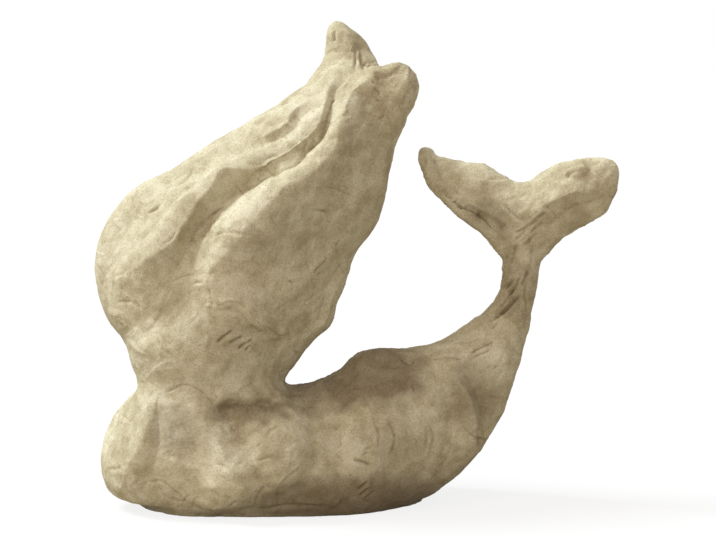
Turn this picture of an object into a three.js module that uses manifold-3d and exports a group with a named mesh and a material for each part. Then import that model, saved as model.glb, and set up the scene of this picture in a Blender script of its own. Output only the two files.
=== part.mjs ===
// Papier-mache mermaid figurine, a craft blank moulded from paper pulp. Millimetres, +Z up.
// The figure lies on its front and faces -Y, chin over its arms. The hair streams up towards +X,
// and the tail curls up behind it at +X and ends in a fluke.
// The origin is on the flat underside. The figure's mid plane is XZ.

import * as THREE from "three";
import { mergeVertices } from "three/addons/utils/BufferGeometryUtils.js";
import Module from "manifold-3d";

const wasm = await Module();
wasm.setup();

// Driving dimensions

const PASTE_GAP = 0.3; // paste line between neighbouring pieces
const SHELL_WALL = 3; // moulded pulp wall of the hair and the body
const BASE_CARD_THICKNESS = 2.5;
const FLUKE_CARD_THICKNESS = 1.5;

const HEAD_WIDTH = 44;
const HEAD_DEPTH = 45;
const HEAD_HEIGHT = 36;
const HEAD_CENTRE = new THREE.Vector3(-43, -6, 46.5);

const NECK_TUBE_DIAMETER = 14;
const NECK_TUBE_WALL = 1.5;
const NECK_TUBE_BEHIND_FACE = 7; // how far the tube stands behind the head's centre
const NECK_TUBE_IN_HEAD = 9; // length held by the head
const NECK_TUBE_IN_BODY = 10; // length held by the body
const SHOULDER_HEIGHT = 32; // where the head meets the body

const STEM_LENGTH = 30.8; // rolled stem of the tail, from the trunk's end to the fluke's root
const WIRE_DIAMETER = 2;
const WIRE_IN_TRUNK = 11; // length held by the hollow trunk
const WIRE_IN_FLUKE = 6; // length held by the fluke, past the last rib of the tail

// A rib is an oval across a form. Its two edge points a and b are [x, z] on the mid plane,
// halfDepth is its reach along Y, and y sets its centre off the mid plane.
const rib = (a, b, halfDepth, y = 0) => ({ a, b, halfDepth, y });

// Hair from the nape upwards: left edge, right edge
const HAIR_RIBS = [
  rib([-51, 37.5], [-23, 33], 11),
  rib([-64.5, 46], [-15, 44], 20),
  rib([-72.5, 54.5], [-9.5, 51], 23.5),
  rib([-75, 66.5], [-3.8, 62], 25),
  rib([-73, 78.5], [-0.5, 72], 25),
  rib([-65.5, 89.5], [5.5, 80], 24),
  rib([-54.5, 97], [8.3, 88], 22),
  rib([-41, 104.5], [10, 97], 19),
  rib([-26.5, 112.5], [12, 106], 15.5),
  rib([-15.2, 120.3], [15, 112], 12),
  rib([-9, 125], [13, 117], 8),
];

// The two hair points, from their roots to their ends: left edge, right edge
const UPPER_TIP_RIBS = [
  rib([-15, 118.5], [4, 117], 7, 4),
  rib([-10.5, 128], [6, 126.5], 6, 5),
  rib([-8.5, 133.5], [2.5, 133.5], 4.5, 5.5),
  rib([-7.5, 137.5], [-1.5, 137.5], 2.8, 6),
  rib([-5.8, 139.3], [-3.8, 139.2], 1, 6),
];
const FRONT_TIP_RIBS = [
  rib([-7, 117], [10.5, 105.5], 8, -4),
  rib([-1.5, 123.5], [14.5, 111.5], 7, -5),
  rib([6.5, 126.5], [17.2, 117.5], 5.5, -6),
  rib([12.5, 126.5], [17.6, 121.5], 3.5, -6.5),
  rib([15.2, 126], [16.8, 124.4], 1.2, -6.5),
];

// Body and tail from the chest to the fluke's root: back edge, belly edge
const BODY_RIBS = [
  rib([-65, 22], [-65.5, 9], 9),
  rib([-62, 29.5], [-63.5, 1], 18),
  rib([-46, 32], [-48, -8], 24),
  rib([-28, 33.5], [-29.5, -9], 25.5),
  rib([-15, 34], [-14, -9], 25),
  rib([-6.5, 37], [0, -8], 24),
  rib([2, 44], [11.5, -2.5], 22.5),
  rib([12, 44.5], [24, 3.5], 20),
  rib([22, 46], [34, 12], 17),
  rib([30.5, 50.5], [41.2, 24], 13.5),
  rib([37.5, 55.5], [46.4, 36.5], 9.5),
  rib([42, 61.5], [50.5, 53], 6.5),
  rib([43, 68], [53, 66.5], 5),
  rib([44, 76], [53.5, 75.5], 4),
];

// Fluke from its left end to its right end: upper edge, lower edge
const FLUKE_RIBS = [
  rib([18.6, 102.8], [19.2, 98.2], 2, 5),
  rib([23.5, 100.4], [21, 92.8], 2.8, 4),
  rib([30.5, 99], [23.5, 89], 3, 3),
  rib([37, 98.3], [30, 83], 3.5, 1.5),
  rib([41.5, 95.5], [37, 77.5], 4, 0.5),
  rib([45.5, 93.4], [42.4, 71.5], 4.5),
  rib([49.5, 93.5], [54, 71], 4.5),
  rib([53.5, 96], [60, 77.5], 4.2, -1),
  rib([59.5, 99], [67, 81], 4, -2.5),
  rib([66.5, 100.5], [72.5, 85.5], 3.4, -4),
  rib([71.5, 100.4], [75, 92.5], 2.6, -5),
  rib([74.4, 99.2], [75.2, 96], 1.2, -5.5),
];

// Arms from the shoulder to the hand: [x, y, z] and the radius there
const PROPPED_ARM = [
  [-57, 4, 28, 8],
  [-65, 0, 19, 7.6],
  [-64.5, -8, 10.5, 8.6],
  [-55, -15.5, 13, 11.5],
  [-50, -17.5, 22, 11.5],
  [-48.5, -18, 30, 9],
];
const FOLDED_ARM = [
  [-15, 2, 25, 10],
  [-19.5, -10, 20, 12.5],
  [-23.5, -18, 18, 13],
  [-30, -20.5, 13, 10.5],
  [-38, -21, 9, 8],
];

// Hair waves: ridges (rise above 0) and furrows (below 0) that run up the hair. Their angles round the
// section are evenly spaced stops from the nape to the end, in degrees from the right edge, with the
// near side at 90 and the left edge at 180. Rise is a share of the section's half size.
const HAIR_WAVES = [
  { angles: [86, 82, 90, 85, 80, 90], width: 15, rise: 0.2 },
  { angles: [108, 101, 107, 106, 94, 110], width: 8, rise: -0.17 },
  { angles: [122, 115, 121, 119, 106, 122], width: 8, rise: 0.05 },
  { angles: [170, 160, 150, 146, 128, 140], width: 9, rise: -0.05 },
  { angles: [60, 55, 48, 50, 44, 40], width: 14, rise: -0.06 },
  { angles: [225, 238, 248, 262, 266, 250], width: 11, rise: -0.11 },
  { angles: [196, 205, 214, 226, 230, 222], width: 10, rise: -0.06 },
  { angles: [292, 300, 305, 300, 312, 318], width: 13, rise: -0.07 },
];

// Facets round and along each form
const HAIR_FACETS = { around: 48, along: 28 };
const HOLLOW_FACETS = { around: 16, along: 14 };
const BODY_FACETS = { around: 28, along: 30 };
const TIP_FACETS = { around: 16, along: 10 };
const FLUKE_FACETS = { around: 12, along: 28 };
const LIMB_FACETS = { around: 14, along: 18, ends: 3 };
const HEAD_FACETS = { around: 24, along: 14 };
const TUBE_FACETS = 16;
const WIRE_FACETS = { around: 8, along: 18, ends: 1 };
const WIRE_BENDS = 3; // stretches that the wire's curve is set by inside the stem

const HUGE = 400; // larger than the figure, for cutting planes
const SLIVER = 0.02; // thinner slivers that a cut leaves are closed up

// Helpers

// A closed skin over rings of points that all turn the same way about the line they follow.
function skinOver(rings) {
  const around = rings[0].length;
  const middle = (ring) => ring.reduce((sum, p) => sum.add(p), new THREE.Vector3()).divideScalar(around);
  const points = [...rings.flat(), middle(rings[0]), middle(rings.at(-1))];
  const at = (i, j) => i * around + (j % around);
  const first = rings.length * around;
  const last = first + 1;
  const faces = [];
  for (let j = 0; j < around; j++) {
    for (let i = 0; i + 1 < rings.length; i++) {
      faces.push(at(i, j), at(i + 1, j), at(i, j + 1));
      faces.push(at(i + 1, j), at(i + 1, j + 1), at(i, j + 1));
    }
    faces.push(first, at(0, j), at(0, j + 1));
    faces.push(last, at(rings.length - 1, j + 1), at(rings.length - 1, j));
  }
  return new THREE.BufferGeometry().setFromPoints(points).setIndex(faces);
}

// The two smooth edges of a row of ribs.
const edgesOf = (ribs) =>
  ["a", "b"].map((key) => {
    const points = ribs.map((r) => new THREE.Vector3(r[key][0], r.y, r[key][1]));
    return new THREE.CatmullRomCurve3(points);
  });

// The middle line of a row of ribs, from 0 at its start to 1 at its end.
function middleOf(ribs) {
  const [a, b] = edgesOf(ribs);
  return (t) => a.getPoint(t).lerp(b.getPoint(t), 0.5);
}

// Where on the middle line a given length is left to its end.
function placeBeforeEnd(ribs, length) {
  const middleAt = middleOf(ribs);
  const steps = 200;
  let left = length;
  for (let i = steps; i > 0; i--) {
    const step = middleAt(i / steps).distanceTo(middleAt((i - 1) / steps));
    if (step > left) return (i - left / step) / steps;
    left -= step;
  }
  return 0;
}

// A smooth form through ribs, grown all round by `grow`. `from` and `to` take a stretch of it.
function loft(ribs, { around, along }, { grow = 0, from = 0, to = 1, relief = () => 0 } = {}) {
  const [a, b] = edgesOf(ribs);
  const depths = new THREE.SplineCurve(ribs.map((r, i) => new THREE.Vector2(i, r.halfDepth)));
  const centreAt = middleOf(ribs);
  const leastHalf = 0.4; // keeps a shrunken form open
  const rings = [];
  for (let i = 0; i <= along; i++) {
    const t = from + ((to - from) * i) / along;
    const centre = centreAt(t);
    if (i === 0) centre.addScaledVector(centreAt(from + 0.01).sub(centre).normalize(), -grow);
    if (i === along) centre.addScaledVector(centre.clone().sub(centreAt(to - 0.01)).normalize(), grow);
    const across = b.getPoint(t).sub(a.getPoint(t));
    const halfWidth = Math.max(across.length() / 2 + grow, leastHalf);
    const halfDepth = Math.max(depths.getPoint(t).y + grow, leastHalf);
    across.normalize();
    const ring = [];
    for (let j = 0; j < around; j++) {
      const angle = (j / around) * 2 * Math.PI;
      const swell = 1 + relief(THREE.MathUtils.radToDeg(angle), t);
      const point = centre.clone().addScaledVector(across, halfWidth * swell * Math.cos(angle));
      point.y -= halfDepth * swell * Math.sin(angle);
      ring.push(point);
    }
    rings.push(ring);
  }
  return solidOf(skinOver(rings));
}

// A round-ended limb along [x, y, z, radius] stations, grown all round by `grow`.
function limb(stations, { around, along, ends }, grow = 0) {
  const line = new THREE.CatmullRomCurve3(stations.map(([x, y, z]) => new THREE.Vector3(x, y, z)));
  const radii = new THREE.SplineCurve(stations.map(([, , , r], i) => new THREE.Vector2(i, r)));
  const frames = line.computeFrenetFrames(along);
  const ringAt = (i, shift, share) => {
    const t = line.getUtoTmapping(i / along);
    const radius = radii.getPoint(t).y + grow;
    const centre = line.getPoint(t).addScaledVector(frames.tangents[i], shift * radius);
    return Array.from({ length: around }, (_, j) => {
      const angle = (j / around) * 2 * Math.PI;
      return centre
        .clone()
        .addScaledVector(frames.normals[i], radius * share * Math.cos(angle))
        .addScaledVector(frames.binormals[i], -radius * share * Math.sin(angle));
    });
  };
  const rings = [];
  for (let k = ends; k > 0; k--) {
    const lean = (k / (ends + 0.5)) * (Math.PI / 2);
    rings.push(ringAt(0, -Math.sin(lean), Math.cos(lean)));
  }
  for (let i = 0; i <= along; i++) rings.push(ringAt(i, 0, 1));
  for (let k = 1; k <= ends; k++) {
    const lean = (k / (ends + 0.5)) * (Math.PI / 2);
    rings.push(ringAt(along, Math.sin(lean), Math.cos(lean)));
  }
  return solidOf(skinOver(rings));
}

// A geometry as a solid that can be cut and joined.
function solidOf(geometry) {
  const bare = new THREE.BufferGeometry().setAttribute("position", geometry.getAttribute("position"));
  const merged = mergeVertices(bare.setIndex(geometry.index), 1e-4);
  return new wasm.Manifold(
    new wasm.Mesh({
      numProp: 3,
      vertProperties: new Float32Array(merged.attributes.position.array),
      triVerts: new Uint32Array(merged.index.array),
      tolerance: SLIVER,
    }),
  );
}

// The solid without the forms that it meets.
const cut = (solid, ...forms) => forms.reduce((rest, form) => rest.subtract(form), solid);

// The main body of a solid that a cut has left in several.
const mainBody = (solid) => solid.decompose().sort((p, q) => q.volume() - p.volume())[0];

// A solid's faces, with corners closer than SLIVER joined so that no needle-thin face is left.
function cleanFaces({ vertProperties, triVerts }) {
  const corner = (i) => new THREE.Vector3().fromArray(vertProperties, i * 3);
  const joined = Array.from({ length: vertProperties.length / 3 }, (_, i) => i);
  const kept = (i) => (joined[i] === i ? i : kept(joined[i]));
  const triangles = Array.from({ length: triVerts.length / 3 }, (_, k) => triVerts.slice(k * 3, k * 3 + 3));
  for (const [a, b, c] of triangles) {
    for (const [from, to] of [[a, b], [b, c], [c, a]]) {
      const [low, high] = [kept(from), kept(to)].sort((p, q) => p - q);
      if (corner(low).distanceTo(corner(high)) < SLIVER) joined[high] = low;
    }
  }
  return triangles
    .map((triangle) => [...triangle].map(kept))
    .filter((triangle) => new Set(triangle).size === 3)
    .flat();
}

// A block that fills the space beyond a plane across the axis "y" or "z".
function beyond(axis, place, side) {
  const centre = new THREE.Vector3();
  centre[axis] = place + (side * HUGE) / 2;
  return solidOf(new THREE.BoxGeometry(HUGE, HUGE, HUGE).translate(...centre));
}

const nearSide = beyond("y", -PASTE_GAP / 2, -1);
const farSide = beyond("y", PASTE_GAP / 2, 1);
const belowSeat = beyond("z", BASE_CARD_THICKNESS + PASTE_GAP, -1);
const belowGround = beyond("z", 0, -1);

// Forms: each is made at its own size, or grown for what has to clear it

function hairRelief(angle, t) {
  const fade = Math.sin(Math.PI * t) ** 0.5; // no relief at the nape and the end
  return HAIR_WAVES.reduce((sum, { angles, width, rise }) => {
    const stops = new THREE.SplineCurve(angles.map((stop, i) => new THREE.Vector2(i, stop)));
    const offset = (angle - stops.getPoint(t).y) / width;
    return sum + rise * fade * Math.exp(-(offset ** 2));
  }, 0);
}

// The hollow trunk ends and the rolled stem begins here on the body's middle line.
const stemStart = placeBeforeEnd(BODY_RIBS, STEM_LENGTH);

const hairForm = (grow) => loft(HAIR_RIBS, HAIR_FACETS, { grow, relief: hairRelief });
const hairHollow = () => hairForm(-SHELL_WALL);
const trunkForm = (grow) => loft(BODY_RIBS, BODY_FACETS, { grow, to: stemStart });
const trunkHollow = () => loft(BODY_RIBS, HOLLOW_FACETS, { grow: -SHELL_WALL, to: stemStart });
const stemForm = () => loft(BODY_RIBS, TIP_FACETS, { from: stemStart });
const flukeForm = (grow) => loft(FLUKE_RIBS, FLUKE_FACETS, { grow });
const tipForm = (ribs, grow) => loft(ribs, TIP_FACETS, { grow });

function headForm(grow) {
  const { around, along } = HEAD_FACETS;
  const ball = new THREE.SphereGeometry(1, around, along).rotateX(Math.PI / 2);
  ball.scale(HEAD_WIDTH / 2 + grow, HEAD_DEPTH / 2 + grow, HEAD_HEIGHT / 2 + grow);
  return solidOf(ball.translate(...HEAD_CENTRE));
}

function neckForm(radius, bottom, top) {
  const tube = new THREE.CylinderGeometry(radius, radius, top - bottom, TUBE_FACETS).rotateX(Math.PI / 2);
  return solidOf(tube.translate(HEAD_CENTRE.x, HEAD_CENTRE.y + NECK_TUBE_BEHIND_FACE, (top + bottom) / 2));
}

// The wire runs along the middle of the tail's ribs and straight on at both ends.
function wireForm(grow) {
  const middleAt = middleOf(BODY_RIBS);
  const stretch = (1 - stemStart) / WIRE_BENDS;
  const middles = Array.from({ length: WIRE_BENDS + 1 }, (_, i) => middleAt(stemStart + stretch * i));
  const beyondEnd = (end, next, length) => {
    const outward = end.clone().sub(next).normalize();
    return outward.multiplyScalar(length).add(end);
  };
  middles.unshift(beyondEnd(middles[0], middles[1], WIRE_IN_TRUNK));
  middles.push(beyondEnd(middles.at(-1), middles.at(-2), WIRE_IN_FLUKE));
  const stations = middles.map((p) => [...p, WIRE_DIAMETER / 2]);
  return limb(stations, WIRE_FACETS, grow);
}

// A layer of the fluke that follows its lean, between two distances off its middle along Y.
function flukeLayer(nearest, farthest) {
  const [upper, lower] = edgesOf(FLUKE_RIBS);
  const overhang = 4; // beyond the fluke's own outline on every side
  const { along } = FLUKE_FACETS;
  const rings = [];
  for (let i = 0; i <= along; i++) {
    const [top, bottom] = [upper.getPoint(i / along), lower.getPoint(i / along)];
    const across = bottom.clone().sub(top).normalize();
    top.addScaledVector(across, -overhang);
    bottom.addScaledVector(across, overhang);
    const ends = { 0: -overhang, [along]: overhang }[i] ?? 0;
    const corner = (edge, y) => new THREE.Vector3(edge.x + ends, edge.y + y, edge.z);
    const nearEdge = [corner(bottom, nearest), corner(top, nearest)];
    const farEdge = [corner(top, farthest), corner(bottom, farthest)];
    rings.push([...nearEdge, ...farEdge]);
  }
  return solidOf(skinOver(rings));
}

// Pieces

const trunk = trunkForm(0);
const trunkClear = trunkForm(PASTE_GAP);
const headClear = headForm(PASTE_GAP);
const wireClear = wireForm(PASTE_GAP);
const flukeClear = flukeForm(PASTE_GAP);
const upperTipClear = tipForm(UPPER_TIP_RIBS, PASTE_GAP);
const frontTipClear = tipForm(FRONT_TIP_RIBS, PASTE_GAP);
const proppedArmClear = limb(PROPPED_ARM, LIMB_FACETS, PASTE_GAP);

const neckTop = SHOULDER_HEIGHT + NECK_TUBE_IN_HEAD;
const neckBottom = SHOULDER_HEIGHT - NECK_TUBE_IN_BODY;
const neckRadius = NECK_TUBE_DIAMETER / 2;
const neckBore = neckForm(neckRadius - NECK_TUBE_WALL, neckBottom - 1, neckTop + 1);
const neckTube = cut(neckForm(neckRadius, neckBottom, neckTop), neckBore);
const neckClear = neckForm(neckRadius + PASTE_GAP, neckBottom - PASTE_GAP, neckTop + PASTE_GAP);

const baseCard = cut(trunk.subtract(belowGround), beyond("z", BASE_CARD_THICKNESS, 1));
const trunkShell = cut(trunk, trunkHollow(), belowSeat, neckClear, wireClear);
const tailStem = cut(stemForm(), trunkClear, flukeClear, wireClear);

const head = cut(headForm(0), trunkClear, neckClear);
const hairShell = cut(hairForm(0), hairHollow(), headClear, trunkClear, upperTipClear, frontTipClear);
const upperTip = cut(tipForm(UPPER_TIP_RIBS, 0), frontTipClear);
const frontTip = tipForm(FRONT_TIP_RIBS, 0);

const proppedArm = cut(limb(PROPPED_ARM, LIMB_FACETS), trunkClear, headClear, belowSeat);
const foldedArm = cut(limb(FOLDED_ARM, LIMB_FACETS), trunkClear, headClear, proppedArmClear, belowSeat);

const fluke = cut(flukeForm(0), wireClear);
const cardHalf = FLUKE_CARD_THICKNESS / 2;
const flukeCard = fluke.intersect(flukeLayer(-cardHalf, cardHalf));
const flukePadNear = fluke.intersect(flukeLayer(-HUGE, -cardHalf - PASTE_GAP));
const flukePadFar = fluke.intersect(flukeLayer(cardHalf + PASTE_GAP, HUGE));

// Materials

const paint = (color, roughness, metalness = 0) =>
  new THREE.MeshStandardMaterial({ color, roughness, metalness });
const kraftPulp = paint(0xc2a37e, 0.95);
const rolledPaper = paint(0xbb9a73, 0.95);
const greyCard = paint(0x9b8a70, 0.9);
const steel = paint(0x8d8f92, 0.4, 1);

// The figure

function piece(name, solid, material) {
  const shape = mainBody(solid).getMesh();
  const geometry = new THREE.BufferGeometry();
  geometry.setAttribute("position", new THREE.BufferAttribute(shape.vertProperties, 3));
  geometry.setIndex(cleanFaces(shape));
  geometry.computeVertexNormals();
  const mesh = new THREE.Mesh(geometry, material);
  mesh.name = name;
  return mesh;
}

const body = new THREE.Group().add(
  piece("base_card", baseCard, greyCard),
  piece("body_shell_near", trunkShell.intersect(nearSide), kraftPulp),
  piece("body_shell_far", trunkShell.intersect(farSide), kraftPulp),
);
const tail = new THREE.Group().add(
  piece("tail_stem", tailStem, rolledPaper),
  piece("tail_wire", wireForm(0), steel),
  piece("fluke_card", flukeCard, greyCard),
  piece("fluke_pad_near", flukePadNear, kraftPulp),
  piece("fluke_pad_far", flukePadFar, kraftPulp),
);
const bust = new THREE.Group().add(
  piece("head", head, kraftPulp),
  piece("neck_tube", neckTube, greyCard),
  piece("propped_arm", proppedArm, kraftPulp),
  piece("folded_arm", foldedArm, kraftPulp),
);
const hair = new THREE.Group().add(
  piece("hair_shell_near", hairShell.intersect(nearSide), kraftPulp),
  piece("hair_shell_far", hairShell.intersect(farSide), kraftPulp),
  piece("hair_tip_upper", upperTip, rolledPaper),
  piece("hair_tip_front", frontTip, rolledPaper),
);

const figure = new THREE.Group();
figure.name = "papier_mache_mermaid_figurine";
figure.add(body, tail, bust, hair);

export default figure;
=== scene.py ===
# %% [markdown]
# # A papier-mache mermaid figurine
#
# The real thing is a craft blank. Its body and hair are moulded paper pulp, its thin ends are rolled
# paper, and torn kraft paper is pasted over all of it and left bare. The folds, dents and torn edges of
# that paper are its whole look. So this lesson lays one skin over all the solids, creases it as wet paper
# creases, and then cuts it back into the pieces.

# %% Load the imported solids
import math
from contextlib import contextmanager

import bpy
import numpy as np
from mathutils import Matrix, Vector, kdtree, noise
from mathutils.bvhtree import BVHTree


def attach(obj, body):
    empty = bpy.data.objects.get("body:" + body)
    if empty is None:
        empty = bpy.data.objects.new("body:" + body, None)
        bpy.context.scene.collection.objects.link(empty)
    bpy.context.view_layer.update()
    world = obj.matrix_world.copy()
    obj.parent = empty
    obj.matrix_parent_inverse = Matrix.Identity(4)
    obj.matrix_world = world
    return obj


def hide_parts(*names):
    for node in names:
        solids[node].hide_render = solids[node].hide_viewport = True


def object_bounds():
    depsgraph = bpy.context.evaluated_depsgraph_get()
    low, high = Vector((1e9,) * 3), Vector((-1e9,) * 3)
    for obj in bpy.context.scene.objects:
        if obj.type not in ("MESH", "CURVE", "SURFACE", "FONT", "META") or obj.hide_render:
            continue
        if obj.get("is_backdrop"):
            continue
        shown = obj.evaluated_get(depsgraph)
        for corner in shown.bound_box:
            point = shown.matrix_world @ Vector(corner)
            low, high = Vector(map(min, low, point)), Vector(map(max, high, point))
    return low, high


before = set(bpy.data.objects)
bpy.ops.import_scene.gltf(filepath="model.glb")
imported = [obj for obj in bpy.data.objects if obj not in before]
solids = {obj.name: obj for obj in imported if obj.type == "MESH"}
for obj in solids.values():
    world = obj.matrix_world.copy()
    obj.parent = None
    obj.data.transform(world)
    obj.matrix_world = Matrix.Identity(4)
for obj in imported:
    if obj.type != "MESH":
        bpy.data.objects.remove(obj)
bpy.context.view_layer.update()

MM = 0.001

# %% [markdown]
# ## The camera
#
# The figure was photographed from slightly above, with a long lens, square to its length. The camera
# comes first because the folds are placed where this eye sees them: a fold is drawn on the figure's
# upright mid plane, in millimetres, and is thrown from the eye on to the surface.

# %% Camera
LENS = 100
SENSOR_WIDTH = 36
DISTANCE = 582 * MM
TILT = math.radians(6)
AIM = Vector((0.8, 7.05, 67.03)) * MM

eye = AIM + DISTANCE * Vector((0, -math.cos(TILT), math.sin(TILT)))
bpy.ops.object.camera_add(location=eye, rotation=(math.pi / 2 - TILT, 0, 0))
camera = bpy.context.object
camera.data.lens = LENS
camera.data.sensor_width = SENSOR_WIDTH
bpy.context.scene.camera = camera
print("eye in mm:", [round(c / MM, 1) for c in eye])

# %% [markdown]
# ## One skin over all the solids
#
# Pasted paper runs on over every joint, so the joints of the solids must not show. Each solid is copied,
# the copies are grown until they close the thin paste gaps between them, and a voxel remesh makes one
# even skin of them. A boolean union would keep every facet of the solids, and a remesh lets smoothing
# melt them. Wads of wet paper fill the deep pockets under the chin, between the arms and between the hair
# points, and round off the hair's lower end and the rolled end of the fluke.

# %% Helpers that pick, shape and edit objects
def pick(*items):
    """Select these objects only, with the first one active."""
    bpy.ops.object.select_all(action="DESELECT")
    for item in items:
        item.select_set(True)
    bpy.context.view_layer.objects.active = items[0]


def shape_with(piece, kind, **settings):
    """Add a modifier with its settings and apply it."""
    pick(piece)
    modifier = piece.modifiers.new(kind.title(), kind)
    for key, value in settings.items():
        setattr(modifier, key, value)
    bpy.ops.object.modifier_apply(modifier=modifier.name)


@contextmanager
def editing(piece, action=None):
    """Edit the piece's mesh, first selecting or deselecting all of it if that is asked for."""
    pick(piece)
    bpy.ops.object.mode_set(mode="EDIT")
    if action:
        bpy.ops.mesh.select_all(action=action)
    yield
    bpy.ops.object.mode_set(mode="OBJECT")


# %% The skin
PAPER = 0.3  # thickness of the pasted paper in mm, which also closes the paste gaps
VOXEL = 0.78
WELD = 0.01
WADS = {  # middle and half sizes of each wad, mm
    "under the chin": [(-43, -13, 31), (20, 14, 10)],
    "behind the chin": [(-31, -11, 32), (11, 14, 7)],
    "inside the elbow": [(-60, -8, 22), (8, 11, 12)],
    "between the arms": [(-41, -14, 20), (12, 13, 14)],
    "between the points": [(-2, -1, 123), (8, 6, 4)],
    "end of the hair": [(-13.9, 0, 56.5), (8, 13, 8)],
    "rolled end of the fluke": [(20.6, 4.5, 100.4), (2.3, 2.6, 2.6)],
}

copies = []
for name, solid in solids.items():
    copy = bpy.data.objects.new(name + "_copy", solid.data.copy())
    bpy.context.collection.objects.link(copy)
    copies.append(copy)
for middle, half in WADS.values():
    bpy.ops.mesh.primitive_uv_sphere_add(location=Vector(middle) * MM, scale=Vector(half) * MM)
    bpy.ops.object.transform_apply()
    copies.append(bpy.context.object)
pick(*copies)
bpy.ops.object.join()
skin = bpy.context.object
with editing(skin, "SELECT"):
    bpy.ops.mesh.remove_doubles(threshold=WELD * MM)
shape_with(skin, "DISPLACE", strength=PAPER * MM, mid_level=0)
shape_with(skin, "REMESH", mode="VOXEL", voxel_size=VOXEL * MM, use_smooth_shade=True)

with editing(skin, "SELECT"):
    bpy.ops.mesh.separate(type="LOOSE")
shells = sorted(bpy.context.selected_objects, key=lambda shell: shell.dimensions.length)
skin = shells.pop()
for hollow in shells:
    bpy.data.objects.remove(hollow)
skin.name = "skin"
print("skin faces:", len(skin.data.polygons), "hollows dropped:", len(shells))

# %% [markdown]
# ## Which piece each patch of skin belongs to
#
# The skin is one sheet for now, but it has to come apart into the figure's pieces later. Each face takes
# a material slot by the solid that lies nearest to it, because an operator can separate a mesh by
# material. Then the faces vote with their neighbours a few times, which straightens the seams and leaves
# no islands.

# %% Pieces and the solids that they cover
COVERS = {
    "hair_paper": ["hair_shell_near", "hair_shell_far"],
    "upper_point": ["hair_tip_upper"],
    "front_point": ["hair_tip_front"],
    "head_paper": ["head"],
    "propped_arm_paper": ["propped_arm"],
    "folded_arm_paper": ["folded_arm"],
    "body_paper": ["body_shell_near", "body_shell_far"],
    "stem_paper": ["tail_stem"],
    "fluke_paper": ["fluke_card", "fluke_pad_near", "fluke_pad_far"],
    "base_board": ["base_card"],
}
PIECES = list(COVERS)
print("pieces to cut:", len(PIECES))

# %% Slots by the nearest solid
NEAREST = 15  # no skin lies farther from its own solid, mm
SETTLE_ROUNDS = 8


def tree_of(names):
    """A search tree over the faces of some solids."""
    corners, faces = [], []
    for name in names:
        mesh = solids[name].data
        start = len(corners)
        corners += [v.co for v in mesh.vertices]
        faces += [[start + i for i in face.vertices] for face in mesh.polygons]
    return BVHTree.FromPolygons(corners, faces)


trees = [tree_of(names) for names in COVERS.values()]
owner = []
for face in skin.data.polygons:
    finds = [tree.find_nearest(face.center, NEAREST * MM)[3] for tree in trees]
    owner.append(min(range(len(finds)), key=lambda i: NEAREST if finds[i] is None else finds[i]))

owner = np.array(owner)
quads = np.empty(len(skin.data.loops), int)
skin.data.loops.foreach_get("vertex_index", quads)
quads = quads.reshape(-1, 4)
for _ in range(SETTLE_ROUNDS):
    votes = np.zeros((len(skin.data.vertices), len(PIECES)))
    np.add.at(votes, (quads.ravel(), np.repeat(owner, 4)), 1)
    owner = votes[quads].sum(1).argmax(1)
skin.data.materials.clear()
for name in PIECES:
    skin.data.materials.append(bpy.data.materials.new(name + "_slot"))
skin.data.polygons.foreach_set("material_index", owner)
print(dict(zip(PIECES, np.bincount(owner))))

# %% [markdown]
# ## Melt the facets and bridge the hollows
#
# Soaked paper rounds the facets off, and it bridges narrow hollows such as those between the arms and the
# chest or under the hair's edge. A light Smooth does the first. For the second, the skin is smoothed hard
# and follows that only where it moves outwards, so hollows fill and nothing wastes away. The thin fluke
# and the hair points melt less, by a vertex group, and only the bust is bridged. Then the faces on the
# eye's side are subdivided once, for the fine folds.

# %% Helpers that read and move the skin
def places(piece):
    """The piece's vertices in millimetres, one row each."""
    flat = np.empty(len(piece.data.vertices) * 3)
    piece.data.vertices.foreach_get("co", flat)
    return flat.reshape(-1, 3) / MM


def put(piece, rows):
    """Set the piece's vertices from millimetres."""
    piece.data.vertices.foreach_set("co", (rows * MM).ravel())
    piece.data.update()


def outward(piece):
    """The piece's vertex normals, one row each."""
    flat = np.empty(len(piece.data.vertices) * 3, np.float32)
    piece.data.vertex_normals.foreach_get("vector", flat)
    return flat.reshape(-1, 3).astype(float)


def owners_of_corners(piece):
    """For each vertex, the slot of a face that it belongs to."""
    mesh = piece.data
    slots = np.empty(len(mesh.polygons), int)
    mesh.polygons.foreach_get("material_index", slots)
    sides = np.empty(len(mesh.polygons), int)
    mesh.polygons.foreach_get("loop_total", sides)
    corners = np.empty(len(mesh.loops), int)
    mesh.loops.foreach_get("vertex_index", corners)
    owners = np.zeros(len(mesh.vertices), int)
    owners[corners] = np.repeat(slots, sides)
    return owners


def belongs(owners, names):
    """Marks the vertices that belong to the named pieces."""
    return np.isin(owners, [PIECES.index(name) for name in names])


# %% Smooth and bridge
SMOOTH_STEP = 0.5  # strength of one round of smoothing, which is also how far it spreads, in mesh sizes
MELT = 1.7  # radius that facets are rounded over, mm
BRIDGE = 4
BRIDGE_PASSES = 6
THIN = ["upper_point", "front_point", "fluke_paper"]
THIN_SHARE = 0.2
BUST_TOP, BUST_END = 64, -18  # the bust lies below this height and left of this place along the figure
BUST_FADE = 10


def soften(radius, group="", mesh_size=VOXEL):
    """Smooth the skin over a radius in millimetres, by the shares of a vertex group."""
    rounds = round((radius / (SMOOTH_STEP * mesh_size)) ** 2)
    shape_with(skin, "SMOOTH", factor=SMOOTH_STEP, iterations=rounds, vertex_group=group)


def bulge(before, after, normals):
    """How far each vertex moved outwards, in millimetres."""
    return np.einsum("ij,ij->i", after - before, normals)


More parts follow.
